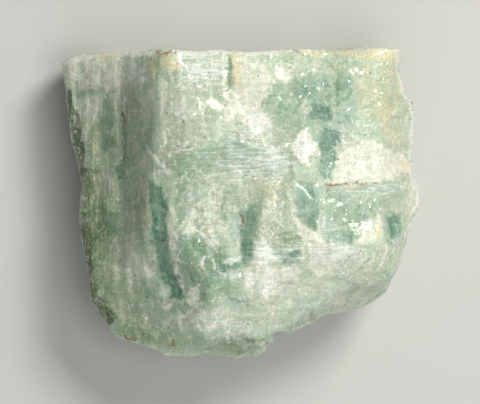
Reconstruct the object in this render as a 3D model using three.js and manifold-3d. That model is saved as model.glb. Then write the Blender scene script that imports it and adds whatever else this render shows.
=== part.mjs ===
// A broken piece of a large aquamarine crystal, lying on its flat back.
//
// Millimetres. +Y runs along the crystal's long axis, so the flat parting across the crystal is the
// +Y end, +Z points up, and the origin is on the table under the middle of the crystal's box.
// The piece is carved the way the stone broke: three outlines give the block with its prism faces,
// and flat cuts give the large breaks and the steps where thin layers split off.
import * as THREE from "three";
import { mergeVertices } from "three/addons/utils/BufferGeometryUtils.js";
import Module from "manifold-3d";

const wasm = await Module();
wasm.setup();

// Driving dimensions.
const THICKNESS = 38; // back to front, along Z
const REACH = 200; // length of a cutting block, well past the crystal on every side

const AQUAMARINE = { color: 0xb3c4b0, roughness: 0.35, metalness: 0 };

// The outline seen from above, as x, y: the parting along the top, then clockwise.
const PLAN = [
  [-37.8, 29.4],
  [-36.2, 30.3],
  [-33.4, 31.2],
  [-4.6, 31.3],
  [1.9, 30.9],
  [8.4, 31.3],
  [9.2, 32.1],
  [14.7, 31.8],
  [25.4, 32.3],
  [32.6, 32.0],
  [33.1, 30.1],
  [32.9, 27.0],
  [34.1, 22.6],
  [36.2, 20.6],
  [36.3, 19.0],
  [35.6, 7.2],
  [37.7, 2.8],
  [37.8, -1.4],
  [35.2, -6.7],
  [34.8, -10.2],
  [32.1, -15.3],
  [30.5, -18.3],
  [26.6, -21.1],
  [23.6, -22.6],
  [17.7, -23.8],
  [10.5, -27.4],
  [7.7, -27.2],
  [6.5, -28.9],
  [5.3, -29.1],
  [3.6, -31.5],
  [-0.2, -32.2],
  [-15.2, -32.3],
  [-17.1, -31.1],
  [-23.5, -29.5],
  [-26.3, -27.9],
  [-31.0, -20.7],
  [-31.4, -16.1],
  [-33.0, -8.1],
  [-33.4, -2.7],
  [-33.1, 4.3],
  [-35.3, 12.7],
  [-36.6, 21.3],
  [-37.4, 28.0],
];

// The section across the prism, as x, z: two striated prism faces on the left, the broad front
// face on top, broken faces on the right, and the back that the piece lies on.
const SECTION = [
  [-28.5, 0],
  [-36.5, 7],
  [-37.9, 10],
  [-37.9, 14],
  [-25.2, 24],
  [-17.5, 34.3],
  [-11.0, 37.2],
  [2.0, 38.0],
  [18.0, 37.4],
  [31.0, 34.8],
  [33.6, 30.5],
  [37.9, 18],
  [36.0, 9],
  [28.0, 0],
];

// The profile along the prism, as y, z: broken and undercut at the foot, square at the parting.
const PROFILE = [
  [-24.0, 0],
  [-32.4, 19],
  [-32.2, 22.5],
  [-28.5, 29],
  [-21.0, 34],
  [-12.0, 37],
  [-2.0, 38],
  [16.0, 37.6],
  [31.4, 35.4],
  [32.4, 8],
  [31.0, 0],
];

// Flat breaks: each takes off everything beyond a plane, given by a point on it and its normal.
const BREAKS = [
  { name: "parting rim", at: [-36.5, 29.6, 15], facing: [-0.46, 0.8, 0.45] },
  { name: "left foot", at: [-33.2, 0, 12], facing: [-0.7, -0.22, -0.66] },
  { name: "lower left shoulder", at: [-27, -23, 20], facing: [-0.5, -0.33, 0.8] },
  { name: "lower left foot", at: [-29, -24, 14], facing: [-0.62, -0.5, -0.6] },
  { name: "lower right slope", at: [22, -9, 36.3], facing: [0.17, -0.5, 0.85] },
  { name: "lower right edge", at: [27, -21, 20], facing: [0.46, -0.76, 0.42] },
  { name: "lower right foot", at: [27, -21, 16], facing: [0.44, -0.72, -0.53] },
  { name: "right flank, high", at: [36, 14, 22], facing: [0.88, -0.05, 0.47] },
  { name: "right flank, low", at: [36, 14, 17], facing: [0.8, 0.12, -0.58] },
];

// Steps in the front, where a thin layer split off: each takes off what is beyond both planes, the
// first the floor of the step and the second its riser.
const LEDGES = [
  {
    name: "window ledge",
    floor: { at: [-3, -8, 36.2], facing: [-0.04, -0.07, 0.99] },
    riser: { at: [3.2, -10, 37], facing: [-0.97, 0.15, 0.18] },
  },
  {
    name: "flake ledge",
    floor: { at: [25, 3, 35.2], facing: [0.225, 0.07, 0.97] },
    riser: { at: [25, 3.9, 36], facing: [0.03, -0.98, 0.12] },
  },
];

// A closed geometry as a solid: only positions stay, and shared corners are merged.
function solidOf(geometry) {
  const bare = geometry.index ? geometry.toNonIndexed() : geometry.clone();
  bare.deleteAttribute("normal");
  bare.deleteAttribute("uv");
  const merged = mergeVertices(bare, 1e-4);
  return new wasm.Manifold(
    new wasm.Mesh({
      numProp: 3,
      vertProperties: merged.attributes.position.array,
      triVerts: new Uint32Array(merged.index.array),
    }),
  );
}

// A solid as a geometry for drawing, with flat faces.
function geometryOf(solid) {
  const mesh = solid.getMesh();
  const geometry = new THREE.BufferGeometry();
  geometry.setAttribute("position", new THREE.BufferAttribute(mesh.vertProperties, 3));
  geometry.setIndex(new THREE.BufferAttribute(mesh.triVerts, 1));
  const flat = geometry.toNonIndexed();
  flat.computeVertexNormals();
  return flat;
}

// An outline drawn on the plane of two axes, pushed through the whole crystal along the third.
function block(points, across, up, length, start) {
  const shape = new THREE.Shape(points.map(([u, v]) => new THREE.Vector2(u, v)));
  const geometry = new THREE.ExtrudeGeometry(shape, { depth: length, bevelEnabled: false });
  const through = new THREE.Vector3().crossVectors(across, up);
  geometry.translate(0, 0, start);
  return solidOf(geometry.applyMatrix4(new THREE.Matrix4().makeBasis(across, up, through)));
}

// Everything beyond a plane.
function beyond({ at, facing }) {
  const normal = new THREE.Vector3(...facing).normalize();
  const geometry = new THREE.BoxGeometry(REACH, REACH, REACH);
  geometry.translate(0, 0, REACH / 2);
  geometry.applyQuaternion(new THREE.Quaternion().setFromUnitVectors(Z, normal));
  return solidOf(geometry.translate(...at));
}

const X = new THREE.Vector3(1, 0, 0);
const Y = new THREE.Vector3(0, 1, 0);
const Z = new THREE.Vector3(0, 0, 1);

function crystal() {
  let stone = block(PLAN, X, Y, THICKNESS, 0);
  stone = stone.intersect(block(SECTION, X, Z, REACH, -REACH / 2));
  stone = stone.intersect(block(PROFILE, Y, Z, REACH, -REACH / 2));
  for (const plane of BREAKS) stone = stone.subtract(beyond(plane));
  for (const { floor, riser } of LEDGES)
    stone = stone.subtract(beyond(floor).intersect(beyond(riser)));
  const mesh = new THREE.Mesh(geometryOf(stone), new THREE.MeshStandardMaterial(AQUAMARINE));
  mesh.name = "crystal";
  return mesh;
}

const part = new THREE.Group();
part.add(crystal());

export default part;
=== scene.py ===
"""A broken piece of a large natural aquamarine crystal, lying on its flat back.

The stone's surface is worked in millimetres and written to Blender in metres. +Y runs along the
crystal's long axis, +Z points up out of the broad front, and the base lies on the floor.
"""
import itertools
import math

import bmesh
import bpy
import numpy as np
from mathutils import Matrix, Vector
from mathutils.bvhtree import BVHTree


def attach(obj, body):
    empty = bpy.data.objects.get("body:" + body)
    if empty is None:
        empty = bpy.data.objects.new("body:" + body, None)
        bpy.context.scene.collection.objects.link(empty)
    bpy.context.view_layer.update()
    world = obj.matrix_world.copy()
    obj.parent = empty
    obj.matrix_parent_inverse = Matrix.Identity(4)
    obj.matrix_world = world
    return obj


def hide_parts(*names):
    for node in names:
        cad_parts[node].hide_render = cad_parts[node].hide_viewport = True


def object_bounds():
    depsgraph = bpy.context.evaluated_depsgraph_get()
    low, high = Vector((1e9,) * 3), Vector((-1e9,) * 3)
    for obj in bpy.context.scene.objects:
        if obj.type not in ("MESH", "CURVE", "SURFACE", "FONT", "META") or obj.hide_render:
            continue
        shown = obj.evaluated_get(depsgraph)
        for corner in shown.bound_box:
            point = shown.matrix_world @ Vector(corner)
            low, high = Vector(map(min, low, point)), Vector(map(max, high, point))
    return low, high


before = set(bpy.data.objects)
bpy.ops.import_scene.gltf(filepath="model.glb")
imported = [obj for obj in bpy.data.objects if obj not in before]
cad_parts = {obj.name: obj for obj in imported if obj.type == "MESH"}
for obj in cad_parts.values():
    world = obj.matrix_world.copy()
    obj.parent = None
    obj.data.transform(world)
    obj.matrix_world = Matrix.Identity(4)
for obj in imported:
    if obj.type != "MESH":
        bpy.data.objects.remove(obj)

CAD_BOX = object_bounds()
MM = 0.001


# ---- Noise in numpy, for shapes ----
# Every function takes points in millimetres, one to a row. A seed picks one noise out of many.

LARGEST_HASH = 4294967295.0  # the largest whole number of 32 bits
SEED_SHIFT = np.array([0.37, 0.61, 0.83])  # keeps the grids of two noises from lining up


def hashed(cells, seed):
    """A repeatable random number from 0 to 1 for each row of whole numbers."""
    x, y, z = (cells[:, axis].astype(np.uint32) for axis in range(3))
    with np.errstate(over="ignore"):
        # Large odd numbers and shifts, which mix the bits.
        h = x * np.uint32(374761393) + y * np.uint32(668265263) + z * np.uint32(2246822519)
        h += np.uint32(seed) * np.uint32(3266489917)
        h = (h ^ (h >> np.uint32(13))) * np.uint32(1274126177)
        h = (h ^ (h >> np.uint32(16))) * np.uint32(2654435761)
        h ^= h >> np.uint32(15)
    return h / LARGEST_HASH


def noise(points, size, seed):
    """Smooth noise from -1 to 1. The size of its lumps is a number, or one for each axis."""
    places = points / np.asarray(size, float) + seed * SEED_SHIFT
    base = np.floor(places).astype(np.int64)
    part = places - base
    ease = part ** 3 * (part * (part * 6 - 15) + 10)
    total = np.zeros(len(points))
    for corner in itertools.product((0, 1), repeat=3):
        weight = np.prod(np.where(corner, ease, 1 - ease), axis=1)
        total += weight * hashed(base + corner, seed)
    return 2 * total - 1


def rough(points, size, seed, octaves=4):
    """Fractal noise: each octave half the size and half the height of the last."""
    size = np.asarray(size, float)
    return sum(noise(points, size / 2 ** k, seed + k) / 2 ** k for k in range(octaves))


def warped(points, size, reach, seed):
    """The points pushed about by noise."""
    push = [rough(points, size, seed + 10 * axis, 3) for axis in range(3)]
    return points + reach * np.stack(push, axis=1)


def cells_at(points, size, seed):
    """The cell of broken space that each point lies in, and its place from the cell's heart."""
    size = np.asarray(size, float)
    places = points / size
    base = np.floor(places).astype(np.int64)
    nearest = np.full(len(points), np.inf)
    found, offsets = np.zeros_like(base), np.zeros_like(places)
    for corner in itertools.product((-1, 0, 1), repeat=3):
        cell = base + corner
        jitter = np.stack([hashed(cell, seed + k) for k in range(3)], axis=1)
        offset = places - cell - jitter
        distance = (offset ** 2).sum(axis=1)
        closer = distance < nearest
        nearest[closer] = distance[closer]
        found[closer], offsets[closer] = cell[closer], offset[closer]
    return found, offsets * size


def plates(points, size, seed, tilt):
    """Broken plates, as heights in mm: each cell is a small plane with its own lean and level."""
    cell, offset = cells_at(points, size, seed)
    lean = np.stack([hashed(cell, seed + k) for k in (3, 4, 5)], axis=1) * 2 - 1
    level = hashed(cell, seed + 6) * 2 - 1
    return tilt * ((lean * offset).sum(axis=1) + 0.5 * np.min(size) * level)


def splintered(points, size, reach, seed):
    """The points shifted by a step of its own in each cell, so that outlines break at the edges."""
    cell, _ = cells_at(points, size, seed)
    return points + reach * (np.stack([hashed(cell, seed + k) for k in (3, 4, 5)], axis=1) * 2 - 1)


def smoothstep(low, high, values):
    """An eased climb from 0, where the values are low, to 1, where they are high."""
    t = np.clip((values - low) / (high - low), 0, 1)
    return t * t * (3 - 2 * t)


# ---- What the stone shows ----
# It is placed in millimetres, on the front as seen from above.

# Patches by layer: strength, softness of the edge in mm, then the outline's points.
PATCHES = {
    "veil": [
        # beside the parting: the broad cream patch, the round spot and the glittering field
        (1, 0.4, [(-1.8, 30.8), (3, 30), (5.5, 28), (7, 25.5), (4.5, 22), (3.8, 19.5), (5.5, 18),
            (6.8, 15), (2.5, 13), (-1, 17.5), (-3.4, 15.6), (-3.5, 18), (-2.2, 20.5), (-3, 22),
            (-1.8, 23.5), (-1.2, 25)]),
        (1.5, 0.2, [(-7, 21), (-4.8, 21.2), (-3.4, 19.6), (-4.2, 18.1), (-6.4, 18.4)]),
        (0.45, 0.8, [(-13.5, 30.8), (-5, 31), (-3.5, 24), (-8, 23.5), (-12, 24.8), (-13, 28)]),
        (1, 0.3, [(-12.2, 25.6), (-9.6, 25.4), (-10.2, 24.8), (-12, 24.9)]),
        (1, 0.25, [(7.2, 27.3), (7.8, 28.8), (9.2, 29.3), (10.6, 28.7), (11.1, 27.3), (10.5, 25.9),
            (9.2, 25.3), (7.8, 25.9)]),
        (0.5, 0.5, [(-6.9, 16.5), (-6, 12), (-7.4, 11.2), (-8.2, 15), (-8.2, 20.5), (-7, 20.5)]),
        # the spindle and its tail
        (1.3, 0.3, [(14, 14.8), (15.2, 13), (15.3, 11), (14.2, 9), (14, 7), (12.8, 8.6), (11, 10.4),
            (10.8, 12), (12, 13.6)]),
        (0.8, 0.3, [(13.9, 15), (14.3, 18), (13.6, 21), (13, 20), (13.4, 17)]),
        # the flake on the right, and the pale flank above and below it
        (1, 0.3, [(18.2, 3.6), (19, 6), (19.8, 8.5), (21, 10.2), (24, 12.6), (28.5, 11.8), (33, 10.5),
            (35.3, 9), (35.2, 6), (29, 4.2), (24, 3.6)]),
        (0.6, 0.5, [(35.4, 5), (37.7, 2), (37.8, -2), (36, -6), (35, -2), (35.2, 2)]),
        # the web left of the middle
        (0.65, 0.4, [(-5.3, 6), (-4.2, 0.5), (-3.6, -2), (-2.8, -4), (-2.6, -8), (-4.6, -6.5),
            (-5, -10), (-7.5, -7.5), (-9.5, -6.3), (-11.8, -6.6), (-12.4, -4.8), (-10.5, -3),
            (-9.8, -0.5), (-6.8, 1.5), (-6.3, 4)]),
        (0.6, 0.4, [(-14.6, -1), (-13.2, -1), (-12.6, -7), (-13.2, -10), (-12.9, -14), (-11.4, -18),
            (-11.5, -20.5), (-14, -13), (-14.5, -8)]),
        (0.85, 0.4, [(-8.3, -14.5), (-8, -21.2), (-10.5, -21.4), (-11.6, -20), (-10, -18)]),
        (0.4, 0.8, [(-11.5, 4), (-7, 3), (-9.6, -2.6), (-13, -1)]),
        # the ridge below the middle
        (0.7, 0.4, [(4.8, -0.3), (6, -1.5), (5.5, -6), (4.4, -8.5), (3.3, -8)]),
        (0.95, 0.4, [(3.4, -7.6), (7.4, -9.8), (7.6, -12.8), (3.5, -13), (2.2, -12.5), (2.9, -9)]),
        (1.3, 0.3, [(0.6, -14.8), (1.8, -13.5), (2.4, -16), (1.9, -20), (1, -18)]),
        (1.4, 0.3, [(4.6, -14.6), (7.5, -13.4), (7.3, -16), (5.6, -20.2), (4.2, -19.8)]),
        (0.8, 0.7, [(2.5, -13), (8, -13), (13.4, -12.6), (12.6, -15.5), (8, -17), (4, -20)]),
        # the V across the lower right
        (0.85, 0.4, [(9.9, 2.4), (10.6, 0.8), (12, -2.6), (12.6, -4.6), (15.5, -6), (18, -8.6),
            (21.5, -9.3), (24, -7.6), (26, -5.4), (28.6, -2.3), (29.8, -4), (29.6, -6.8), (27, -8.2),
            (23.5, -9.4), (19.8, -13.8), (19.6, -15.2), (16, -15.6), (14.2, -14), (14.6, -11), (13, -9),
            (12.4, -12.6), (11.8, -9), (12.2, -6.6), (10.8, -3.4)]),
        # the lower right slope and the foot
        (0.4, 1, [(22, -9.6), (29, -8.6), (27, -14), (21, -15)]),
        (0.45, 0.8, [(8, -16.5), (16, -15.8), (20, -17), (12, -19.5), (6.5, -24), (3.5, -20.5)]),
        (0.35, 0.8, [(-13.5, -24.5), (-9, -21.8), (-2, -23), (1, -26), (-3, -29), (-9, -27.5)]),
        # the left faces
        (0.75, 1.5, [(-37.5, 30), (-36.5, 24), (-25.5, 23), (-21, 26), (-21, 31)]),
        (0.45, 0.5, [(-33, 12.5), (-32, 12.8), (-30.8, 15.5), (-30.4, 20), (-31.5, 22.5), (-33, 18)]),
        (0.5, 0.4, [(-16.6, 20), (-15.6, 19), (-15.3, 14), (-16.4, 14.2)]),
        (0.5, 0.6, [(-24.8, 29.5), (-20.5, 28.5), (-20, 25.8), (-24, 26)]),
        (0.4, 0.6, [(-17.2, 24.8), (-15.4, 24.8), (-15.4, 14), (-16.8, 14)]),
        (0.45, 1.2, [(-15.6, 24.5), (-9.5, 24.5), (-9, 12.5), (-15.6, 12.5)]),
        (0.35, 1.2, [(0, 9.8), (11, 9.4), (11, 5.4), (1, 5.2)]),
        (0.6, 0.3, [(-18.6, 23), (-17.7, 23.4), (-17.9, 20.3), (-18.6, 20.2)]),
        (0.8, 0.3, [(-19.4, -13.2), (-18.4, -12.8), (-17.2, -15.4), (-18.2, -15.8)]),
        (0.3, 0.8, [(-28.5, 7), (-26.5, 4), (-28, 0), (-31, -1), (-31, 5)]),
        (0.3, 0.8, [(-25, -9), (-20.5, -11), (-19, -16), (-24, -15), (-28.5, -20), (-29.5, -14)]),
    ],
    "window": [
        # between the veils, right of the middle
        (0.9, 0.5, [(15.5, 14.6), (20.4, 14.4), (20.3, 11.5), (18.8, 5.2), (16.8, 5.2), (16.4, 8),
            (17, 11)]),
        (2, 0.5, [(17, 15), (20.4, 14.6), (20, 11.2), (17.2, 11)]),
        (1.6, 0.7, [(14.4, 20.4), (18.2, 20.4), (20, 17.8), (18.2, 16.2), (14.4, 16.2)]),
        (0.6, 0.8, [(19.5, 24.5), (25.5, 24), (25, 19), (20.5, 16.5), (19, 20)]),
        (0.5, 0.8, [(6.6, 24.8), (12.5, 25), (19, 22.8), (20, 21.5), (14, 21.5), (13, 20), (12.2, 16.4),
            (10, 16.4), (9.8, 18.8), (6.5, 19.4)]),
        (0.75, 0.7, [(11.6, 4.6), (16.4, 4.2), (16.8, -0.5), (16.6, -4.6), (15, -5.6), (12.9, -4.4),
            (11.4, 0.6)]),
        (0.5, 0.5, [(17.2, 3), (23, 2.8), (26, 0.4), (30.5, 1.2), (31, -1.8), (28.4, -1.6), (26, -4.6),
            (23.8, -6.4), (17.4, -5.8)]),
        (0.75, 0.6, [(16.6, -5.8), (22.6, -6.4), (24.2, -7.6), (22, -8.9), (18.4, -8.3)]),
        (0.9, 0.6, [(30.4, -1.4), (33.4, -2.8), (34.4, -5), (33, -7.4), (31.2, -9.8), (30.2, -6)]),
        (0.4, 0.6, [(31.4, 3), (34.8, 3.4), (34, 0.2), (31.6, 0)]),
        (0.85, 0.4, [(7.8, -10), (12.2, -9.8), (12, -12.2), (8, -12.6)]),
        (0.5, 0.4, [(12.8, -12.6), (14.6, -13), (14.4, -15), (12.4, -15)]),
        (0.4, 0.6, [(20.2, -14.8), (21.8, -15.6), (21.4, -18.6), (19.8, -18)]),
        # the dark window below the middle, and the slit at its foot
        (0.75, 0.8, [(-2.6, -3), (4.2, 0.4), (3.6, -5.4), (2.6, -10), (1.6, -12.4), (-0.4, -8.6),
            (-2.4, -7.6)]),
        (1.1, 0.6, [(0, -7.2), (2.8, -7), (2.2, -11.2), (1, -12.2), (-0.6, -10.4)]),
        (1.1, 0.3, [(-4.8, -14.2), (-2, -14.4), (0.8, -12.4), (0.2, -11.2), (-2.6, -13),
            (-4.4, -12.8)]),
        (0.5, 0.8, [(-4.4, -15.6), (0.2, -15.4), (0.9, -18), (1.2, -22.6), (-3.6, -21.8), (-5, -18.6)]),
        (0.55, 0.6, [(-12.4, -8.6), (-8.6, -8.4), (-7.2, -10.4), (-8.4, -13), (-12, -13.4)]),
        # the groove left of the web
        (0.95, 0.6, [(-18.8, 4.8), (-16.6, 3.2), (-15.4, -1), (-14.8, -8), (-14.6, -12), (-13, -15.6),
            (-11.8, -19.8), (-13.9, -20), (-16.4, -16), (-18, -12), (-18.6, -6)]),
        (1.15, 0.5, [(-15.4, -14.6), (-13, -15.2), (-11.8, -19.8), (-14, -20.2)]),
        (0.7, 0.6, [(-14.4, -20), (-11.4, -22), (-13, -24), (-16, -22.6)]),
        # the bluish band across the middle and above it
        (0.45, 0.8, [(-15, 9.4), (-8, 11), (0, 12.4), (6, 9.6), (11, 8), (12.6, 5.6), (10, 4.8), (4, 5),
            (-5, 6), (-11, 4.6), (-14, 5.6)]),
        (0.7, 0.5, [(-4.2, 13), (-0.4, 12.9), (0, 10.6), (-3.8, 10.8)]),
        (0.6, 2, [(5, 22), (12, 26), (24, 26), (24, 16), (20, 12), (8, 14)]),
        (0.3, 1.5, [(-25.5, 31), (-17, 31), (-17, 12), (-19, -8), (-25, -8)]),
        (0.6, 2, [(-14, 4), (-3, 2), (-1, -14), (-4, -22), (-12, -22)]),
        (0.25, 0.5, [(-15.2, 17.6), (-11.2, 17), (-10.4, 13.2), (-13.6, 12.2), (-15.4, 13.6)]),
        # the left faces
        (0.75, 0.6, [(-28.9, 14.6), (-26.4, 14.4), (-25.6, 11.6), (-27.2, 10.4), (-28.9, 10.8)]),
        (0.65, 0.8, [(-29.8, 21), (-26.8, 22), (-25.6, 16), (-27, 14.6), (-29.4, 15)]),
        (0.9, 0.4, [(-24, 10), (-21.8, 9.8), (-22, 6.6), (-23.6, 6.8)]),
        (0.9, 0.5, [(-26.4, 7.5), (-24.4, 7.8), (-24.2, 4.8), (-25.6, 3.8)]),
        (0.6, 0.5, [(-20.6, 16), (-18.2, 16.2), (-18.3, 9.4), (-20.8, 9.2)]),
        (0.8, 0.4, [(-20, 24.4), (-18.8, 24.2), (-18.8, 21.6), (-20, 22)]),
        (0.85, 0.8, [(-28.6, -1), (-25.2, -2.2), (-25.2, -7), (-28.2, -6.8)]),
        (0.7, 1.2, [(-10, -25.5), (-2, -25), (0, -30.5), (-11, -30)]),
        (0.8, 0.5, [(-31.8, -7.6), (-29.8, -7.2), (-30, -10.8), (-31.6, -9.8)]),
        (0.45, 1, [(-20.6, -14.8), (-15.8, -16.8), (-15.6, -21), (-18.6, -24), (-20.4, -21)]),
        (0.7, 2, [(-35.6, 28), (-27, 28.8), (-26.6, 23), (-29.6, 22.6), (-35, 22)]),
    ],
    "warm": [
        (0.5, 0.8, [(-20.2, 29.8), (-16.6, 29.4), (-16.8, 25.5), (-19.6, 25.5)]),
        # cream and tan, along the parting and around the crack under the flake
        (0.85, 0.6, [(8.8, 31.8), (32.6, 31.8), (32.8, 29), (26, 29.4), (20, 30.4), (15, 30.2)]),
        (0.7, 0.3, [(-2, 30.7), (0.2, 30.6), (0, 24.8), (-1.6, 24.4)]),
        (0.85, 0.5, [(-16, 30.6), (-12.9, 30.4), (-12.4, 27), (-14, 26.4), (-16, 27.6)]),
        (0.7, 0.4, [(-30, 31.2), (-25, 31), (-25.2, 29.4), (-29, 29.6)]),
        (0.6, 0.5, [(32.8, 9.4), (35.3, 9), (35.2, 5.6), (33.4, 5.6)]),
        (0.35, 0.6, [(3, 4.9), (9, 5), (8.6, -0.4), (5, -0.6)]),
        (0.6, 0.4, [(28.4, -4), (29.6, -5), (29, -7.6), (27.6, -6.6)]),
        (0.4, 0.4, [(-20, 2.6), (-19.2, 2.8), (-18.8, -6), (-19.6, -6.4)]),
        (0.6, 0.4, [(-7, -5.4), (-5, -5.2), (-5.2, -7), (-6.8, -6.6)]),
        (0.5, 0.5, [(-31, 12.6), (-29.4, 12), (-29.6, 9.6), (-31, 10)]),
        (0.6, 0.3, [(17.4, 4.2), (24.6, 3.8), (24.6, 3), (18, 3.2)]),
        (0.3, 1, [(19, -19), (29, -15), (26, -20), (20, -22)]),
        (0.5, 0.4, [(-10.6, -3.4), (-9, -4), (-9.8, -5.4), (-11, -4.8)]),
        (0.45, 1.5, [(22, 30), (32.6, 30), (35.4, 20), (35, 12), (30, 11.6), (24, 18)]),
    ],
    "olive_and_painted_shade": [
        # olive tone with painted shade: the left faces, which turn away from the light, and darker
        # painted shade on the rims
        (0.6, 1.6, [(-24.8, 25.6), (-19.4, 25.4), (-18.6, 14), (-19.6, 2.5), (-24.4, 2.8),
            (-24.6, 12)]),
        (0.7, 0.8, [(-24, 30.6), (-16.6, 30.4), (-16.6, 25), (-17.8, 24.2), (-20, 25.4), (-22, 28.6)]),
        (1.7, 0.3, [(-37.6, 26), (-36.6, 16), (-35, 9.6), (-33.8, 5), (-32.2, 5.2), (-32.8, 10),
            (-34, 16), (-35.6, 24)]),
        (0.7, 1.2, [(-24, 2.5), (-19.6, 2.8), (-19.2, -3), (-19.8, -11), (-21.4, -8.4), (-24, -3.4)]),
        (1.7, 0.5, [(-33.6, 0), (-31.8, -4), (-30.4, -14), (-28.6, -19), (-25.4, -23.8), (-27.6, -26),
            (-31.6, -20.4), (-33.2, -13)]),
        (0.35, 2, [(-31, -8), (-22, -8), (-18, -22), (-22, -28), (-29, -22)]),
        (0.65, 1.5, [(-27, -27), (-25, -24), (-18, -25.4), (-14, -31), (-24.6, -29.6)]),
        (0.7, 0.3, [(-2.8, 30.4), (-1.9, 30.2), (-2.2, 24.6), (-3.2, 24)]),
        (0.6, 1.5, [(-24, -29.4), (-14, -31.8), (4, -31.8), (6, -28.6), (-12, -28.6), (-22, -26.5)]),
        (0.5, 2.5, [(-35, 18), (-18, 18), (-18, 2), (-20, -10), (-18, -20), (-22, -27), (-29, -22),
            (-34, -4)]),
        (0.6, 0.3, [(5.2, -27.2), (7.6, -27.4), (5.4, -29.2), (4.2, -29)]),
        (0.6, 0.4, [(8.6, -6.2), (12.6, -6.8), (12.8, -8.8), (8.8, -8.8)]),
        (0.3, 0.6, [(29.4, -10), (31.6, -10.6), (31, -17), (29.2, -16)]),
        (1.12, 2, [(-36, 12), (-28, 6), (-26, -20), (-28, -26), (-32, -16), (-34, -4)]),
        (0.4, 2, [(-13, 3), (-4, -2), (-2, -14), (-8, -22), (-12, -12)]),
        (0.4, 2, [(24, 30), (32, 30), (34.6, 20), (34.6, 13), (26, 16)]),
    ],
}

# Zones of fine texture, as ellipses (centre x, y, half-sizes, turn in degrees, strength): fibres
# along the crystal, ripples across it, a web of white cracks, and a painted sheen.
ZONES = {
    "fibres": [
        (-30, 10, 8, 20, 0, 1), (-21, 12, 5, 16, 0, 0.8), (-26, -8, 8, 12, 0, 0.5),
        (-16.8, -8, 2.6, 12, 8, 0.7), (12, -2, 5, 6, 0, 0.5), (27, -10, 6, 8, 0, 0.5),
    ],
    "ripples": [
        (0, 8, 12, 4, 0, 0.9), (27, 2.6, 6, 2, 0, 1), (20, -8, 5, 3, 0, 0.9),
        (4.4, -10.8, 3.4, 3, 0, 0.8), (10.4, -9, 3, 4, 0, 0.8), (-2, -13, 5, 3, 16, 0.6),
    ],
    "web": [
        (-8.4, -9, 6.4, 13, 6, 1), (6, -6, 4, 8, 0, 0.8), (20, -10, 10, 4, 0, 0.6),
        (-9, 26, 7, 5, 0, 0.8), (-21, 26.5, 4, 3, 0, 0.8), (19, 13, 6, 8, 0, 0.7),
        (3, 15, 4.5, 3.5, 0, 0.8), (-13, 10, 5, 8, 0, 0.5), (-5, -25, 7, 4, 0, 0.7),
    ],
    # painted sheen: where a bluish-white highlight is painted
    "painted_sheen": [
        (4, 8.4, 7, 3.4, 0, 1), (4.6, -10.4, 2.6, 2, 0, 1), (-8, 27.5, 5, 3.4, 0, 0.9),
        (28, 2.8, 5, 1.4, 0, 1), (3.6, 15, 4, 3, 0, 0.8), (10, -11, 2.4, 1.4, 0, 0.9),
        (20, -10, 4, 2, 0, 0.8), (-15.8, -18.6, 1, 1, 0, 1), (-21, 27, 3, 2.4, 0, 0.8),
    ],
}

# Lines by layer: their points, then their width. White ones are the edges of thin cracks, rusty ones
# hold iron stain, the rim's is a painted highlight on the edge, and dark ones are strings of specks.
LINES = {
    "white_line": [
        ([(-14.9, 10), (-12.6, 10.3), (-10, 11.2)], 0.25),
        ([(-12.8, 12.4), (-11.6, 11.4), (-10.8, 12.6)], 0.25),
        ([(-8.8, -5.6), (-6.4, -8.2), (-5, -10.2)], 0.3),
        ([(-14.5, -8.1), (-13.9, -12.4), (-12, -17.7)], 0.18),
        ([(-7.2, -11), (-8.1, -12.8), (-7.4, -13.8)], 0.2),
        ([(-5.6, -12), (-5, -13.6), (-3, -15)], 0.2),
        ([(-2.9, -12.6), (-1.4, -12.2), (0.2, -11.4)], 0.45),
        ([(-12.2, -27), (-12.4, -24.4), (-11, -22.6)], 0.3),
        ([(-16, -21.4), (-15.2, -22), (-14.4, -21.2)], 0.4),
        ([(-19.6, 12), (-17, 8.4), (-15, 6.2)], 0.3),
        ([(30.4, -9), (29.2, -13)], 0.35),
        ([(-24.2, 21.6), (-23.9, 18)], 0.2),
        ([(-26.4, 22), (-26, 19.4)], 0.2),
        ([(-13, 19.2), (-12.6, 17.6), (-11.4, 17.4)], 0.25),
        ([(-11.6, 22), (-11.9, 18.4)], 0.25),
        ([(-8.4, -24), (-6.4, -26.6), (-4.4, -24.6)], 0.25),
        ([(-2.4, -26), (-2.5, -29)], 0.25),
        ([(17, -3), (17.2, -5.4)], 0.25),
    ],
    "rust_line": [
        ([(17.6, 3.8), (18.8, 3.5), (20.7, 3.7), (22.6, 4.2), (24.4, 3.7), (29, 3.8)], 0.18),
        ([(-23.8, -28.3), (-22.7, -28.8), (-21.8, -28.7)], 0.4),
        ([(-14, -28.8), (-14.1, -29.8)], 0.3),
        ([(0.2, -2.4), (0.7, -3.6), (0.1, -5.4)], 0.15),
        ([(-24.6, 18.6), (-24.4, 17), (-24, 15.8)], 0.25),
        ([(-17, 30.9), (-13, 30.9)], 0.35),
    ],
    # the rim: a painted highlight where the edge catches the light
    "rim_highlight": [
        ([(-37.6, 28.9), (-36.2, 29.9), (-33.4, 30.7), (-4.6, 30.9), (8.4, 30.9), (9.4, 31.7)], 0.5),
        ([(9.4, 31.7), (25.4, 31.9), (32.4, 31.6), (32.8, 27), (34, 22.6), (36, 20.4)], 0.5),
        ([(36, 20.4), (36.1, 15), (35.4, 7.2), (37.4, 2.8), (37.5, -1.4), (35, -6.7)], 0.5),
    ],
    "dark_line": [
        ([(-24.4, 24.2), (-24.7, 21), (-24.4, 17.2), (-24.6, 13.6), (-24.3, 10.4), (-24, 5)], 0.3),
        ([(-24, 31.2), (-18, 31.5), (-13, 31.2)], 0.3),
        ([(0.4, -2), (0.4, -5)], 0.3),
        ([(1, 5.7), (1.2, 5.7)], 0.3),
        ([(-8.1, 7), (-7.9, 7)], 0.3),
        ([(24.7, 25.6), (24.7, 25.8)], 0.25),
        ([(24.7, 29.5), (24.7, 29.7)], 0.25),
    ],
}
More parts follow.
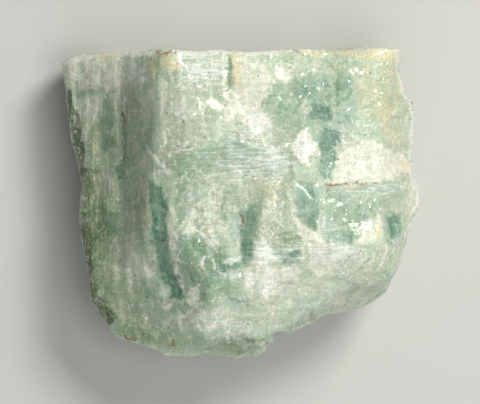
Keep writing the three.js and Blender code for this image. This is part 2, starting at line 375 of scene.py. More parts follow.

# Relief given line by line: ridges and grooves along lines, as points, half-width and height in mm.
FOLDS = [
    ([(-16.4, 31), (-16.4, 16), (-18.4, 8), (-19.2, 0), (-18.8, -12)], 3, 0.3),
    ([(-24.4, 30), (-24.6, 6), (-24, -6)], 1.6, -0.45),
    ([(-16.9, 2), (-16.9, -8), (-15.4, -14), (-12.8, -19.5)], 2.6, -0.35),
    ([(5.6, 3), (3.8, -4), (2.4, -11), (1.6, -19)], 2.6, 0.15),
    ([(12.3, -5.2), (15.7, -7), (19.6, -8.8), (23.5, -7.5), (28.8, -4.2)], 2, 0.12),
    ([(-8.8, -4.2), (-6.8, -5.6), (-5.2, -8.4)], 1, 0.2),
    ([(-5.2, 19.6), (-5.2, 19.5)], 1.6, 0.25),
    ([(9.2, 27.6), (9.2, 26.6)], 1.9, -0.35),
    ([(13.1, 14.4), (13.1, 8.6)], 1.9, 0.4),
    ([(-2.4, 31), (-2.4, 22)], 1.2, -0.4),
    ([(0.2, -4), (0.2, -13.5)], 2.4, -0.3),
    ([(-30, 26), (-29, 6)], 3, -0.35),
]

# The same layers on the walls, which are hidden from above: the size in mm of their lumps, the
# level of noise at which they start, and their strength.
WALLS = {
    "veil": ((6, 8, 6), 0.1, 0.65),
    "window": ((6, 10, 6), 0.1, 0.75),
    "warm": ((9, 6, 9), 0.35, 0.4),
    "olive_and_painted_shade": ((7, 12, 7), 0.35, 0.45),
    "fibres": ((9, 9, 9), 0.1, 0.8),
    "ripples": ((9, 9, 9), 0.2, 0.6),
    "web": ((8, 8, 8), 0, 1),
    "painted_sheen": ((5, 5, 5), 0.4, 0.8),
}


# ---- The layers at each point ----
# Patches, zones and lines where the stone is seen from above, and noise on its walls.

LINE_REACH = 1.5  # a line's strength in its middle, and how many widths away it ends


def vectors(mesh, name):
    """A mesh's vertex positions or normals, one to a row."""
    values = np.empty(len(mesh.vertices) * 3)
    mesh.vertices.foreach_get(name, values)
    return values.reshape(-1, 3)


def along(points, line):
    """Distance in mm, seen from above, from each point to a line through a few places."""
    nearest = np.full(len(points), np.inf)
    for start, end in zip(line[:-1], line[1:]):
        start, run = np.array(start), np.subtract(end, start)
        share = np.clip(((points[:, :2] - start) @ run) / (run @ run), 0, 1)
        gap = points[:, :2] - start - share[:, None] * run
        nearest = np.minimum(nearest, np.hypot(gap[:, 0], gap[:, 1]))
    return nearest


def inside(points, outline):
    """Whether each point lies inside an outline, as seen from above."""
    x, y = points[:, 0], points[:, 1]
    odd = np.zeros(len(points), bool)
    for (x1, y1), (x2, y2) in zip(outline, outline[1:] + outline[:1]):
        if y1 != y2:
            crossed = (y1 > y) != (y2 > y)
            odd ^= crossed & (x < x1 + (y - y1) * (x2 - x1) / (y2 - y1))
    return odd


def patch_layer(points, patches):
    """Each point's strength in a layer of outlined patches, whose edges are broken and fade."""
    points = splintered(warped(points, 6.0, 0.5, 91), (2.0, 3.0, 2.0), 0.4, 95)
    points = splintered(points, (0.9, 1.3, 0.9), 0.3, 97)
    faded = 0.5 + 2.2 * smoothstep(-0.2, 0.5, noise(points, 7.0, 93))
    field = np.zeros(len(points))
    for strength, soft, outline in patches:
        depth = along(points, outline + outline[:1]) * np.where(inside(points, outline), 1, -1)
        reach = soft * faded
        field = np.maximum(field, strength * smoothstep(-reach, reach, depth))
    return field


def zone_layer(points, zones):
    """Each point's strength in a layer of zones, which fade out from their middles."""
    field = np.zeros(len(points))
    for x, y, half_x, half_y, turn, strength in zones:
        cos, sin = math.cos(math.radians(turn)), math.sin(math.radians(turn))
        dx, dy = points[:, 0] - x, points[:, 1] - y
        across, up = (dx * cos + dy * sin) / half_x, (dy * cos - dx * sin) / half_y
        field = np.maximum(field, strength * (1 - smoothstep(0.5, 1.5, np.hypot(across, up))))
    return field


def line_layer(points, lines):
    """Each point's strength in a layer of lines, which fade out from their middles."""
    gaps = [along(points, line) / width for line, width in lines]
    return np.clip(LINE_REACH - np.min(gaps, axis=0), 0, LINE_REACH)


def wall_layers(points):
    """Each point's strength in every layer of patches and zones, where a wall is."""
    points = splintered(warped(points, 6.0, 1.0, 191), (2.0, 2.6, 2.0), 0.6, 195)
    points = splintered(points, (0.9, 1.3, 0.9), 0.4, 197)
    layers = {}
    for seed, (name, (size, start, strength)) in enumerate(WALLS.items(), 200):
        field = rough(points, size, 10 * seed, 3)
        layers[name] = strength * smoothstep(start, start + 0.5, field)
    return layers


def front_fade(up):
    """1 on faces that look up, 0 on walls."""
    return smoothstep(0.12, 0.4, up)


def write_layers(mesh):
    """Gives each vertex its strength in each layer of patches, zones and lines."""
    points, normals = vectors(mesh, "co") / MM, vectors(mesh, "normal")
    facing = front_fade(normals[:, 2])
    layers = {name: patch_layer(points, found) for name, found in PATCHES.items()}
    layers |= {name: zone_layer(points, found) for name, found in ZONES.items()}
    for name, hidden in wall_layers(points).items():
        layers[name] = facing * layers[name] + (1 - facing) * hidden
    loose = warped(points, 1.6, 0.35, 81)
    layers |= {name: facing * line_layer(loose, found) for name, found in LINES.items()}
    for name, values in layers.items():
        attribute = mesh.attributes.new(name, "FLOAT", "POINT")
        attribute.data.foreach_set("value", values.astype(np.float32))


# ---- The stone's mesh ----

VOXEL = 0.39  # mm, the mesh's grain
BASE_FADE = 2.5  # mm above the floor over which the relief comes in, so that the base stays flat
ON_FLOOR = 1e-6  # metres: what is lower belongs to the base
WEAR = {"factor": 0.5, "iterations": 60}  # how far the edges between the front's breaks are rounded
WEAR_STEPS = 10  # levels of wear between none and full
WORN_ABOVE = (16, 26)  # mm above the floor over which the wear comes in
PRISM_LEFT_OF = (-12, -18)  # mm over which the walls turn into smoother prism faces


def apply_modifiers(piece):
    """Replaces an object's mesh by what its modifiers make of it."""
    depsgraph = bpy.context.evaluated_depsgraph_get()
    mesh = bpy.data.meshes.new_from_object(piece.evaluated_get(depsgraph))
    piece.modifiers.clear()
    piece.data = mesh


def remeshed(node):
    """A fine, even copy of a CAD node's mesh."""
    copy = bpy.data.objects.new("crystal_stone", node.data.copy())
    bpy.context.collection.objects.link(copy)
    remesh = copy.modifiers.new("grain", "REMESH")
    remesh.mode, remesh.voxel_size = "VOXEL", VOXEL * MM
    apply_modifiers(copy)
    copy.data.name = copy.name
    return copy


def wear_front(stone):
    """Softens the edges between the flat breaks of the front, high up on the stone."""
    points, normals = vectors(stone.data, "co") / MM, vectors(stone.data, "normal")
    front = smoothstep(*WORN_ABOVE, points[:, 2]) * smoothstep(0.2, 0.6, normals[:, 2])
    group = stone.vertex_groups.new(name="front")
    for step in range(1, WEAR_STEPS + 1):
        chosen = np.flatnonzero(np.round(front * WEAR_STEPS) == step)
        group.add(chosen.tolist(), step / WEAR_STEPS, "REPLACE")
    smooth = stone.modifiers.new("wear", "SMOOTH")
    smooth.vertex_group = group.name
    for setting, value in WEAR.items():
        setattr(smooth, setting, value)
    apply_modifiers(stone)
    stone.vertex_groups.clear()


def relief(points, normals):
    """How far the broken surface stands off the carved one, along its normal, in mm."""
    # The front, the two ends, the prism faces on the left, and the other walls, which are rougher.
    up = normals[:, 2]
    front = smoothstep(0.45, 0.8, up)
    end = smoothstep(0.6, 0.9, np.abs(normals[:, 1]))
    left = smoothstep(*PRISM_LEFT_OF, points[:, 0]) * (1 - end)
    wall = (1 - front) * (1 - left)
    parting = end * (points[:, 1] > 0)
    broken = wall * (1 - 0.7 * parting)

    loose = warped(points, 3.0, 0.9, 11)
    swell = rough(points, 13.0, 21, 3)
    large_plates = plates(loose, (7.0, 5.5, 7.0), 31, 0.13)
    small_plates = plates(loose, (2.4, 1.7, 2.4), 41, 0.11)
    grain = rough(points, 1.9, 51, 3)
    striations = rough(points, (1.5, 22.0, 1.5), 61, 3)
    ledges = rough(points, (9.0, 1.3, 9.0), 71, 3)

    height = (0.35 + 0.2 * broken) * swell
    height += (0.3 + 0.5 * broken) * large_plates
    height += (0.2 + 0.35 * broken) * small_plates
    height += 0.03 * grain
    height += (0.05 + 0.16 * left) * striations
    height += 0.10 * broken * ledges
    for line, half, rise in FOLDS:
        height += rise * front_fade(up) * (1 - smoothstep(0, half, along(points, line)))
    return height


def flatten_base(mesh):
    """Joins the many small faces of the flat base into a few."""
    bm = bmesh.new()
    bm.from_mesh(mesh)
    low = [v for v in bm.verts if v.co.z < ON_FLOOR]
    held = set(low)
    edges = [e for e in bm.edges if e.verts[0] in held and e.verts[1] in held]
    bmesh.ops.dissolve_limit(bm, angle_limit=math.radians(1), verts=low, edges=edges)
    bmesh.ops.triangulate(bm, faces=bm.faces[:])
    bm.to_mesh(mesh)
    bm.free()


def broken_stone(node):
    """The carved crystal with its natural surface, as one closed mesh."""
    stone = remeshed(node)
    wear_front(stone)
    mesh = stone.data
    points, normals = vectors(mesh, "co") / MM, vectors(mesh, "normal")
    fade = smoothstep(0.0, BASE_FADE, points[:, 2])
    moved = points + normals * (fade * relief(points, normals))[:, None]
    moved[:, 2] = np.maximum(moved[:, 2], 0)
    mesh.vertices.foreach_set("co", (moved * MM).ravel())
    mesh.update()
    flatten_base(mesh)
    mesh.shade_smooth()
    return stone


# ---- Shader nodes ----

class Graph:
    """Short names for the shader nodes that the materials use. All sizes are in mm."""

    def __init__(self, name):
        self.material = bpy.data.materials.new(name)
        self.material.use_nodes = True
        self.tree = self.material.node_tree
        self.shader = self.tree.nodes["Principled BSDF"]
        self.output = self.tree.nodes["Material Output"]

    def add(self, kind, inputs, **settings):
        node = self.tree.nodes.new("ShaderNode" + kind)
        for name, value in settings.items():
            setattr(node, name, value)
        for key, value in inputs.items():
            self.put(node.inputs[key], value)
        return node

    def put(self, socket, value):
        if isinstance(value, bpy.types.NodeSocket):
            self.tree.links.new(value, socket)
        else:
            socket.default_value = value

    def places(self):
        """Places on the stone, in mm from a corner beyond it: noise is uneven at its own origin."""
        found = self.add("TexCoord", {})
        millimetres = self.vector("SCALE", found.outputs["Object"], scale=1 / MM)
        return self.vector("ADD", millimetres, (60.0, 50.0, 20.0))

    def layer(self, name):
        return self.add("Attribute", {}, attribute_name=name).outputs["Fac"]

    def vector(self, operation, a, b=(0, 0, 0), scale=1.0):
        inputs = {0: a, "Scale": scale} if operation == "SCALE" else {0: a, 1: b}
        return self.add("VectorMath", inputs, operation=operation).outputs["Vector"]

    def math(self, operation, a, b=0.0, c=0.0):
        return self.add("Math", {0: a, 1: b, 2: c}, operation=operation).outputs[0]

    def times(self, a, b):
        return self.math("MULTIPLY", a, b)

    def step(self, value, low, high, floor=0.0, top=1.0):
        """An eased climb from floor, where the value is low, to top, where it is high."""
        found = self.add(
            "MapRange",
            {"Value": value, "From Min": low, "From Max": high, "To Min": floor, "To Max": top},
            interpolation_type="SMOOTHSTEP",
        )
        return found.outputs[0]

    def contrast(self, value, gain):
        """Spreads noise, which keeps close to a half, over the range from 0 to 1."""
        inputs = {0: self.math("SUBTRACT", value, 0.5), 1: gain, 2: 0.5}
        return self.add("Math", inputs, operation="MULTIPLY_ADD", use_clamp=True).outputs[0]

    def blend(self, share, a, b):
        return self.add("Mix", {0: share, 6: a, 7: b}, data_type="RGBA").outputs[2]

    def tint(self, colour, other, share, strength=1.0):
        """The colour, covered by another one in a share of it, at a strength."""
        return self.blend(self.times(share, strength), colour, other)

    def noise(self, places, size, detail=3.0, roughness=0.5, output="Fac"):
        """Noise whose lumps are about size across: a number, or one for each axis."""
        inputs = {"Scale": 1.0, "Detail": detail, "Roughness": roughness}
        inputs["Vector"] = self.divided(places, size)
        return self.add("TexNoise", inputs).outputs[output]

    def divided(self, places, size):
        sizes = size if isinstance(size, tuple) else (size,) * 3
        return self.vector("DIVIDE", places, sizes)

    def cells(self, places, size, feature="F1"):
        """Space broken into splinters of a size."""
        inputs = {"Vector": self.divided(places, size), "Scale": 1.0}
        return self.add("TexVoronoi", inputs, feature=feature).outputs

    def dots(self, places, size):
        """For dots, one to a cell: the distance from the dot, and three random numbers for each."""
        found = self.cells(places, size)
        return found["Distance"], self.add("SeparateXYZ", {0: found["Color"]}).outputs

    def chance(self, places, size):
        """A random number from 0 to 1 for each splinter."""
        return self.dots(places, size)[1][0]

    def pushed(self, places, size, reach, shift=0.0):
        """Places pushed about by noise, so that what is drawn there looks torn."""
        push = self.noise(self.vector("ADD", places, (shift,) * 3), size, 3.0, 0.6, "Color")
        centred = self.vector("SUBTRACT", push, (0.5, 0.5, 0.5))
        return self.vector("ADD", places, self.vector("SCALE", centred, scale=reach))

    def flakes(self, places, size):
        """Splinters in splinters in splinters: crisp, angular noise, mostly from 0 to 1."""
        total = 0.0
        for share, part in ((0.55, 1.0), (0.45, 0.45), (0.35, 0.2)):
            found = self.chance(places, tuple(part * side for side in size))
            total = self.math("MULTIPLY_ADD", found, share, total)
        return self.math("SUBTRACT", total, 0.175)

    def cracks(self, places, size, width):
        """Thin lines along the edges of splinters, broken here and there."""
        gap = self.cells(places, size, "DISTANCE_TO_EDGE")["Distance"]
        kept = self.step(self.noise(places, 0.8 * max(size)), 0.5, 0.6)
        return self.times(self.step(gap, width / min(size), 0.0), kept)

    def flecks(self, places, size, share):
        """Short dashes, one to a cell in a share of the cells."""
        distance, chances = self.dots(places, size)
        kept = self.step(chances[1], 1 - share, 1.02 - share)
        return self.times(self.step(distance, 0.32, 0.2), kept)

    def torn(self, layer, grain, reach=0.8, soft=0.1):
        """A layer with its strength broken up by noise: weak parts turn into scattered patches."""
        spread = self.math("MULTIPLY_ADD", self.math("SUBTRACT", grain, 0.5), reach, layer)
        edge = self.step(spread, 0.5 - soft, 0.5 + soft)
        return self.times(edge, self.step(layer, 0.05, 0.3))


# ---- The stone's material ----

def srgb(*levels):
    """A colour given as 0-255 levels on a screen, as Blender's linear numbers."""
    shares = [level / 255 for level in levels]
    return [s / 12.92 if s <= 0.04045 else ((s + 0.055) / 1.055) ** 2.4 for s in shares] + [1.0]


PALE = srgb(196, 210, 186)
GREY_GREEN = srgb(169, 190, 163)
TEAL = srgb(144, 187, 157)
DEEP_TEAL = srgb(92, 146, 112)
CREAM = srgb(235, 233, 216)
# A bluish white for painted sheen and sparks, and for the ripples, which are partly painted sheen.
SHEEN_BLUE_WHITE = srgb(232, 240, 236)
BRIGHT = srgb(250, 248, 238)
TAN = srgb(224, 211, 172)
# Olive is partly the stone's own tone and partly painted shade; the dark olive is painted shade on the
# rims.
OLIVE_AND_SHADE = srgb(122, 155, 102)
SHADE_DARK_OLIVE = srgb(80, 90, 62)
RUST = srgb(150, 108, 66)
DARK = srgb(70, 66, 50)

# Sizes in mm of the noises: fibres are long along the crystal, and ripples across it.
CLOUD, DUST = 9.0, 0.45
FLAKE, CHIP, PLATE = (2.2, 3.0, 2.2), (1.1, 0.9, 1.1), (2.6, 5.2, 2.6)
FIBRE, RIPPLE = (0.5, 6.0, 0.5), (3.6, 0.45, 3.6)
OUTSIDE = 0.12  # how much of a zone's texture there is outside all zones

TRANSMISSION = (0.05, 0.22)  # in the milky body, and where the stone is clear
BERYL = {  # plain values of the shader
    "IOR": 1.575,
    "Subsurface Weight": 1.0,
    "Subsurface Radius": (0.6, 1.0, 0.85),
    "Subsurface Scale": 0.006,
    "Coat Weight": 0.45,
    "Coat Roughness": 0.14,
}
ABSORPTION = {"Color": (0.5, 0.8, 0.7, 1), "Density": 60.0}  # per metre


class StoneGraph(Graph):
    """The stone's look, with the places, noises and fields that several parts of it share."""

    def __init__(self, name):
        super().__init__(name)
        # Places on the stone as they are, and pushed about: finely, a little, and far.
        self.spots = self.places()
        self.fine = self.pushed(self.spots, 0.8, 0.4, 7.0)
        self.near = self.pushed(self.spots, 1.2, 0.6, 3.0)
        self.loose = self.pushed(self.spots, 3.0, 1.0)

        # Noises from 0 to 1.
        self.clouds = self.contrast(self.noise(self.loose, CLOUD, 4.0), 2.0)
        self.dust = self.contrast(self.noise(self.spots, DUST, 3.0, 0.7), 3.0)
        self.flake = self.flakes(self.fine, FLAKE)
        self.chip = self.flakes(self.fine, CHIP)
        self.fibre = self.contrast(self.noise(self.fine, FIBRE, 4.0, 0.6), 3.0)
        self.ripple = self.contrast(self.noise(self.fine, RIPPLE, 4.0, 0.6), 3.0)

        # Clear parts, where cracks and glints are few, and veiled ones.
        self.mapped = self.times(self.layer("window"), self.step(self.flake, 0.1, 0.9, 0.7, 1.2))
        streak = self.math("MAXIMUM", self.fibre, self.ripple)
        self.window = self.step(self.math("MULTIPLY_ADD", streak, 0.2, self.mapped), 0.15, 1.05)
        self.calm = self.step(self.window, 0.2, 0.8, 1.0, 0.25)
        self.veil = self.torn(self.times(self.layer("veil"), 0.8), self.chip, 0.8, 0.07)

        # Tiny facets, of which a few shine.
        self.facet = self.cells(self.fine, 0.5)["Color"]
        self.shiny = self.step(self.add("SeparateXYZ", {0: self.facet}).outputs[2], 0.86, 0.88)

    def zone(self, name):
        """A zone's strength, with a little of it outside."""
        return self.math("ADD", self.layer(name), OUTSIDE)


def body_colour(look):
    """Pale to grey green, with teal where the stone is clear, and olive tone with painted shade on the
    left faces and darker painted shade on the rims.
    """
    colour = look.blend(look.clouds, GREY_GREEN, PALE)
    colour = look.tint(colour, GREY_GREEN, look.chance(look.loose, PLATE), 0.22)
    honey = look.noise(look.vector("ADD", look.loose, (40.0, 0.0, 0.0)), 8.0, 4.0)
    colour = look.tint(colour, TAN, look.contrast(honey, 2.0), 0.14)
    colour = look.tint(colour, TEAL, look.window, look.step(look.fibre, 0.1, 0.9, 0.65, 0.9))
    deep = look.step(look.math("MULTIPLY_ADD", look.fibre, 0.3, look.mapped), 0.7, 1.4)
    colour = look.tint(colour, DEEP_TEAL, deep, 0.9)
    # Olive tone with painted shade on the left faces, and darker painted shade on the rims.
    olive_and_painted_shade = look.layer("olive_and_painted_shade")
    colour = look.tint(colour, OLIVE_AND_SHADE, look.torn(olive_and_painted_shade, look.fibre, 0.4, 0.4), 0.8)
    return look.tint(colour, SHADE_DARK_OLIVE, look.step(olive_and_painted_shade, 0.9, 1.4), 0.75)


def with_veils(look, colour):
    """White veils: scattered thin ones, and the mapped ones, with chips of green left in them."""
    scattered = look.times(look.calm, look.step(look.flake, 0.66, 0.72))
    colour = look.tint(colour, CREAM, scattered, 0.2)
    mapped = look.layer("veil")
    milky = look.blend(look.step(mapped, 0.95, 1.35), CREAM, BRIGHT)
    thin = look.times(mapped, look.step(look.flake, 0.2, 0.8, 0.5, 0.95))
    colour = look.tint(colour, milky, thin)
    colour = look.tint(colour, milky, look.veil, look.step(look.dust, 0.1, 0.9, 0.3, 0.6))
    shade = look.times(thin, look.step(look.chip, 0.5, 0.38))
    return look.tint(colour, GREY_GREEN, shade, 0.4)


def with_streaks(look, colour):
    """Pale fibres along the crystal; across it, bluish ripples, partly pale streaks and partly painted
    sheen; and a painted bluish sheen in its zones.
    """
    fibres = look.times(look.step(look.fibre, 0.7, 0.9), look.zone("fibres"))
    colour = look.tint(colour, CREAM, fibres, 0.4)
    # Ripples: bluish-white streaks, partly the stone's own pale streaks and partly painted sheen.
    ripples = look.times(look.step(look.ripple, 0.7, 0.9), look.zone("ripples"))
    colour = look.tint(colour, SHEEN_BLUE_WHITE, ripples, 0.5)
    # Painted sheen: a bluish-white highlight painted in the colour, strongest in its own zones.
    sheen = look.step(look.ripple, 0.3, 0.75, 0.05, 0.6)
    return look.tint(colour, SHEEN_BLUE_WHITE, look.layer("painted_sheen"), sheen)


def with_cracks(look, colour):
    """White cracks and dashes in two sizes, thickest in the zones of the web."""
    cracks = look.math(
        "MAXIMUM",
        look.cracks(look.near, (2.8, 4.2, 2.8), 0.12),
        look.cracks(look.near, (1.7, 1.3, 1.7), 0.1),
    )
    dashes = look.math(
        "MAXIMUM",
        look.flecks(look.near, (0.5, 1.5, 0.5), 0.12),
        look.flecks(look.near, (1.3, 0.45, 0.6), 0.16),
    )
    for marks, in_web, outside in ((cracks, 0.8, 0.35), (dashes, 0.45, 0.55)):
        share = look.math("MULTIPLY_ADD", look.layer("web"), in_web, outside)
        colour = look.tint(colour, BRIGHT, look.times(marks, share), look.calm)
    return colour


def with_lines_and_stains(look, colour):
    """The mapped cracks, a painted highlight along the rim, and stains of tan and rust, all torn by
    noise.
    """
    marks = (
        ("white_line", look.chip, 1.5, 0.2, BRIGHT, 0.65),
        # a painted highlight where the rim's edge catches the light
        ("rim_highlight", look.chip, 0.9, 0.2, BRIGHT, 0.5),
        ("warm", look.flake, 0.5, 0.4, TAN, 0.75),
        ("rust_line", look.chip, 2.4, 0.3, RUST, 0.7),
    )
    for layer, grain, reach, soft, other, strength in marks:
        mark = look.torn(look.layer(layer), grain, reach, soft)
        colour = look.tint(colour, other, mark, strength)
    return colour


def with_specks(look, colour):
    """Dark pits and beads, and painted glints and sparks, up to about half a millimetre across."""
    dot, kinds = look.dots(look.fine, 1.1)
    pit = look.times(look.step(dot, 0.24, 0.12), look.step(kinds[0], 0.88, 0.91))
    bead = look.step(look.dots(look.spots, 0.55)[0], 0.4, 0.2)
    bead = look.times(bead, look.step(look.layer("dark_line"), 0.2, 0.6))
    colour = look.tint(colour, DARK, look.math("MAXIMUM", pit, bead), 0.8)
    # Glints: white dots painted in the colour, partly tiny white fractures and partly painted
    # highlights.
    glint = look.times(look.step(dot, 0.26, 0.1), look.step(kinds[1], 0.5, 0.9))
    colour = look.tint(colour, BRIGHT, look.times(glint, look.calm), 0.8)
    # Sparks: bluish-white dots, painted highlights in the zones of painted sheen.
    spark = look.step(look.dots(look.fine, (0.8, 0.4, 0.8))[0], 0.36, 0.14)
    spark = look.times(spark, look.zone("painted_sheen"))
    return look.tint(colour, SHEEN_BLUE_WHITE, spark, look.step(look.dust, 0.45, 0.8))


def speckled(look, colour):
    """The colour, a little lighter and darker from grain to grain and from streak to streak."""
    speckle = look.add("MapRange", {"Value": look.dust, "To Min": 0.87, "To Max": 1.07}).outputs[0]
    lead = look.math("SUBTRACT", look.layer("fibres"), look.layer("ripples"))
    upright = look.step(lead, -0.4, 0.4)
    gap = look.math("SUBTRACT", look.fibre, look.ripple)
    streak = look.math("MULTIPLY_ADD", gap, upright, look.ripple)
    speckle = look.times(speckle, look.step(streak, 0.1, 0.9, 0.9, 1.08))
    return look.vector("SCALE", colour, scale=speckle)


def set_gloss(look):
    """The body is half glossy, veils are frosted, and the shiny facets gleam."""
    gloss = look.step(look.clouds, 0.1, 0.9, 0.36, 0.5)
    gloss = look.math("MULTIPLY_ADD", look.veil, 0.15, gloss)
    gloss = look.math("MULTIPLY_ADD", look.shiny, -0.3, gloss)
    look.put(look.shader.inputs["Roughness"], look.math("MAXIMUM", gloss, 0.08))


def set_fine_relief(look):
    """Relief finer than the mesh, with heights in mm, and the lean of the facets."""
    height = look.times(look.noise(look.fine, 1.1, 6.0, 0.6), 0.1)
    for streak, zone, depth in ((look.fibre, "fibres", 0.08), (look.ripple, "ripples", 0.1)):
        height = look.math("MULTIPLY_ADD", streak, look.times(look.layer(zone), depth), height)
    bump = look.add("Bump", {"Strength": 0.6, "Distance": MM, "Height": height})
    lean = look.vector("SUBTRACT", look.facet, (0.5, 0.5, 0.5))
    lean = look.vector("SCALE", lean, scale=look.math("MULTIPLY_ADD", look.shiny, 0.8, 0.1))
    normal = look.vector("NORMALIZE", look.vector("ADD", bump.outputs[0], lean))
    look.put(look.shader.inputs["Normal"], normal)


def set_light(look):
    """Light in the stone: let through where it is clear, scattered under its surface, absorbed."""
    clear = look.step(look.window, 0.0, 1.0, *TRANSMISSION)
    clear = look.times(clear, look.math("SUBTRACT", 1.0, look.veil))
    look.put(look.shader.inputs["Transmission Weight"], clear)
    for name, value in BERYL.items():
        look.shader.inputs[name].default_value = value
    absorb = look.add("VolumeAbsorption", ABSORPTION)
    look.put(look.output.inputs["Volume"], absorb.outputs[0])


def stone_material():
    look = StoneGraph("aquamarine")
    colour = body_colour(look)
    for dress in (with_veils, with_streaks, with_cracks, with_lines_and_stains, with_specks):
        colour = dress(look, colour)
    look.put(look.shader.inputs["Base Color"], speckled(look, colour))
    set_gloss(look)
    set_fine_relief(look)
    set_light(look)
    return look.material


# ---- What is sealed in the stone ----
# Healed cracks, growth tubes along the crystal, and dark grains.

COVER = 1.2  # mm of stone left over everything sealed in it
CRACK_STEPS = 14  # faces along each side of a healed crack's grid
CRACKS_ACROSS = 0.35  # the share of healed cracks that lie across the crystal
NOISE_SPREAD = 50  # mm over which they take their noise from different places


def sealed(tree, place):
    """Whether a place in mm lies inside the stone, with the cover over it."""
    spot = Vector(place) * MM
    near, normal, _, distance = tree.find_nearest(spot)
    return (spot - near).dot(normal) < 0 and distance > COVER * MM


def scattered_places(tree, random, count):
    """Places sealed in the stone, most of them in its upper half."""
    low, high = (np.array(corner) / MM for corner in CAD_BOX)
    found = []
    while len(found) < count:
        place = low + (high - low) * random.random(3) ** (1, 1, 0.6)
        if sealed(tree, place):
            found.append(place)
    return found


def healed_crack(bm, tree, random, middle):
    """A thin, lacy, gently waving sheet, along the crystal or across it."""
    reach = random.uniform(2.5, 6.0)
    side = Vector((1, 0, random.uniform(-1, 1))).normalized()
    other = Vector((0, 1, random.uniform(-0.2, 0.2)))
    if random.random() < CRACKS_ACROSS:
        other = side.cross(other)
    flat = side.cross(other)
    spots = list(itertools.product(range(CRACK_STEPS + 1), repeat=2))
    flats = (2 * np.array(spots) / CRACK_STEPS - 1) * reach
    places = np.c_[flats, np.zeros(len(flats))] + random.random(3) * NOISE_SPREAD
    ragged = 1 - np.hypot(flats[:, 0], flats[:, 1]) / reach + 0.35 * rough(places, 2.0, 7, 3)
    kept = (ragged > 0.1) & (np.abs(rough(places, 1.4, 9, 3)) < 0.32)
    lift = random.uniform(0.2, 0.6) * noise(places, 3.0, 5)
    grid = {}
    for spot, (u, v), stays, rise in zip(spots, flats, kept, lift):
        place = Vector(middle) + side * u + other * v + flat * rise
        if stays and sealed(tree, place):
            grid[spot] = bm.verts.new(place * MM)
    for i, j in grid:
        corners = [(i, j), (i + 1, j), (i + 1, j + 1), (i, j + 1)]
        if all(corner in grid for corner in corners):
            bm.faces.new([grid[corner] for corner in corners])


def growth_tube(bm, tree, random, middle):
    """A fine straight tube along the crystal, left out where an end would near the surface."""
    half, radius = random.uniform(1.5, 6.0), random.uniform(0.06, 0.14)
    ends = [Vector(middle) + Vector((0, way * half, 0)) for way in (-1, 1)]
    if not all(sealed(tree, end) for end in ends):
        return
    tube = bmesh.ops.create_cone(
        bm, cap_ends=True, segments=5, radius1=radius * MM, radius2=radius * MM, depth=2 * half * MM
    )
    turn = Matrix.Rotation(math.radians(90), 3, "X")
    bmesh.ops.rotate(bm, verts=tube["verts"], matrix=turn)
    bmesh.ops.translate(bm, verts=tube["verts"], vec=Vector(middle) * MM)


def dark_grain(bm, tree, random, middle):
    """A small lumpy grain."""
    radius = random.uniform(0.12, 0.4)
    grain = bmesh.ops.create_icosphere(bm, subdivisions=1, radius=radius * MM)
    for vertex in grain["verts"]:
        vertex.co = vertex.co * random.uniform(0.7, 1.2) + Vector(middle) * MM


def enclosed(name, stone, make, count, seed, material):
    """One mesh of many small things of a kind, sealed in the stone."""
    random = np.random.default_rng(seed)
    tree = BVHTree.FromObject(stone, bpy.context.evaluated_depsgraph_get())
    bm = bmesh.new()
    for middle in scattered_places(tree, random, count):
        make(bm, tree, random, middle)
    loose = [v for v in bm.verts if not v.link_faces]
    bmesh.ops.delete(bm, geom=loose, context="VERTS")
    mesh = bpy.data.meshes.new(name)
    bm.to_mesh(mesh)
    bm.free()
    piece = bpy.data.objects.new(name, mesh)
    bpy.context.collection.objects.link(piece)
    mesh.materials.append(material)
    return piece


def flaw_material(name, colour, other, roughness):
    """What fills a flaw in the stone: two colours clouded into each other."""
    look = Graph(name)
    clouds = look.contrast(look.noise(look.places(), 1.2, 4.0), 3.0)
    look.put(look.shader.inputs["Base Color"], look.blend(clouds, colour, other))
    look.put(look.shader.inputs["Roughness"], look.step(clouds, 0.0, 1.0, roughness, roughness + 0.2))
    return look.material


# ---- Stage, lights and camera, in metres ----

FLOOR_SIZE = 6
LIGHT_TARGET = Vector((0, 0, 0.02))
FRAME_WIDTH = 0.1008  # across the picture, at the height of the stone's middle
CAMERA_HEIGHT = 0.9
LENS_SENSOR = 36.0  # mm


def stage():
    bpy.ops.mesh.primitive_plane_add(size=FLOOR_SIZE)
    floor = bpy.context.object
    floor.name = "floor"
    look = Graph("floor")
    look.shader.inputs["Base Color"].default_value = srgb(198, 197, 193)
    look.shader.inputs["Roughness"].default_value = 0.9
    floor.data.materials.append(look.material)


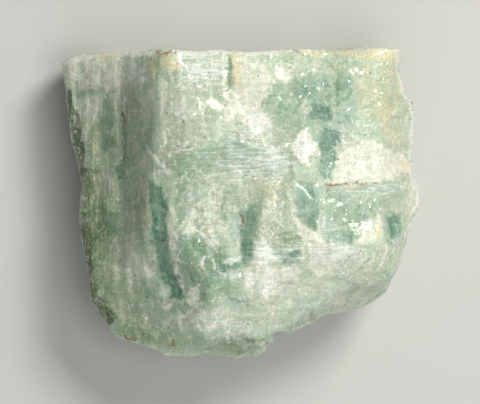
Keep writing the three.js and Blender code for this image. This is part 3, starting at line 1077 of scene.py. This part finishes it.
def area_light(name, at, size, watts, colour=(1, 1, 1)):
    """A square lamp that looks at the stone."""
    data = bpy.data.lights.new(name, "AREA")
    data.energy, data.size, data.color = watts, size, colour
    light = bpy.data.objects.new(name, data)
    light.location = at
    light.rotation_euler = (LIGHT_TARGET - Vector(at)).to_track_quat("-Z", "Y").to_euler()
    bpy.context.collection.objects.link(light)


def lights():
    """A key light at the upper right, softer ones overhead and below, and a dim studio."""
    area_light("key", (0.36, 0.40, 0.60), 0.28, 5.2, (1.0, 0.98, 0.94))
    area_light("top", (0.26, -0.12, 0.95), 0.5, 3.2)
    area_light("fill", (0.1, -0.7, 0.45), 0.5, 1.7, (0.96, 0.98, 1.0))
    world = bpy.data.worlds.new("studio")
    world.use_nodes = True
    background = world.node_tree.nodes["Background"]
    background.inputs["Color"].default_value = (0.9, 0.93, 0.95, 1)
    background.inputs["Strength"].default_value = 0.16
    bpy.context.scene.world = world


def camera():
    """Looks straight down on the middle of the stone."""
    data = bpy.data.cameras.new("camera")
    middle = (CAD_BOX[0] + CAD_BOX[1]) / 2
    rise = CAMERA_HEIGHT - middle.z
    data.sensor_width = LENS_SENSOR
    data.lens = LENS_SENSOR * rise / FRAME_WIDTH
    data.clip_start, data.clip_end = 0.05, 10
    seen = bpy.data.objects.new("camera", data)
    seen.location = (middle.x, middle.y, CAMERA_HEIGHT)
    bpy.context.collection.objects.link(seen)
    bpy.context.scene.camera = seen


stage()
lights()
camera()

stone = broken_stone(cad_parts["crystal"])
write_layers(stone.data)
stone.data.materials.clear()
stone.data.materials.append(stone_material())
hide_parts("crystal")
cream = flaw_material("healed_crack", CREAM, BRIGHT, roughness=0.4)
dark = flaw_material("dark_grain", DARK, RUST, roughness=0.35)
cracks = enclosed("healed_cracks", stone, healed_crack, count=40, seed=3, material=cream)
tubes = enclosed("growth_tubes", stone, growth_tube, count=90, seed=5, material=cream)
grains = enclosed("dark_grains", stone, dark_grain, count=50, seed=7, material=dark)
for piece in (stone, cracks, tubes, grains):
    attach(piece, "root")

bpy.context.scene.view_settings.view_transform = "Standard"
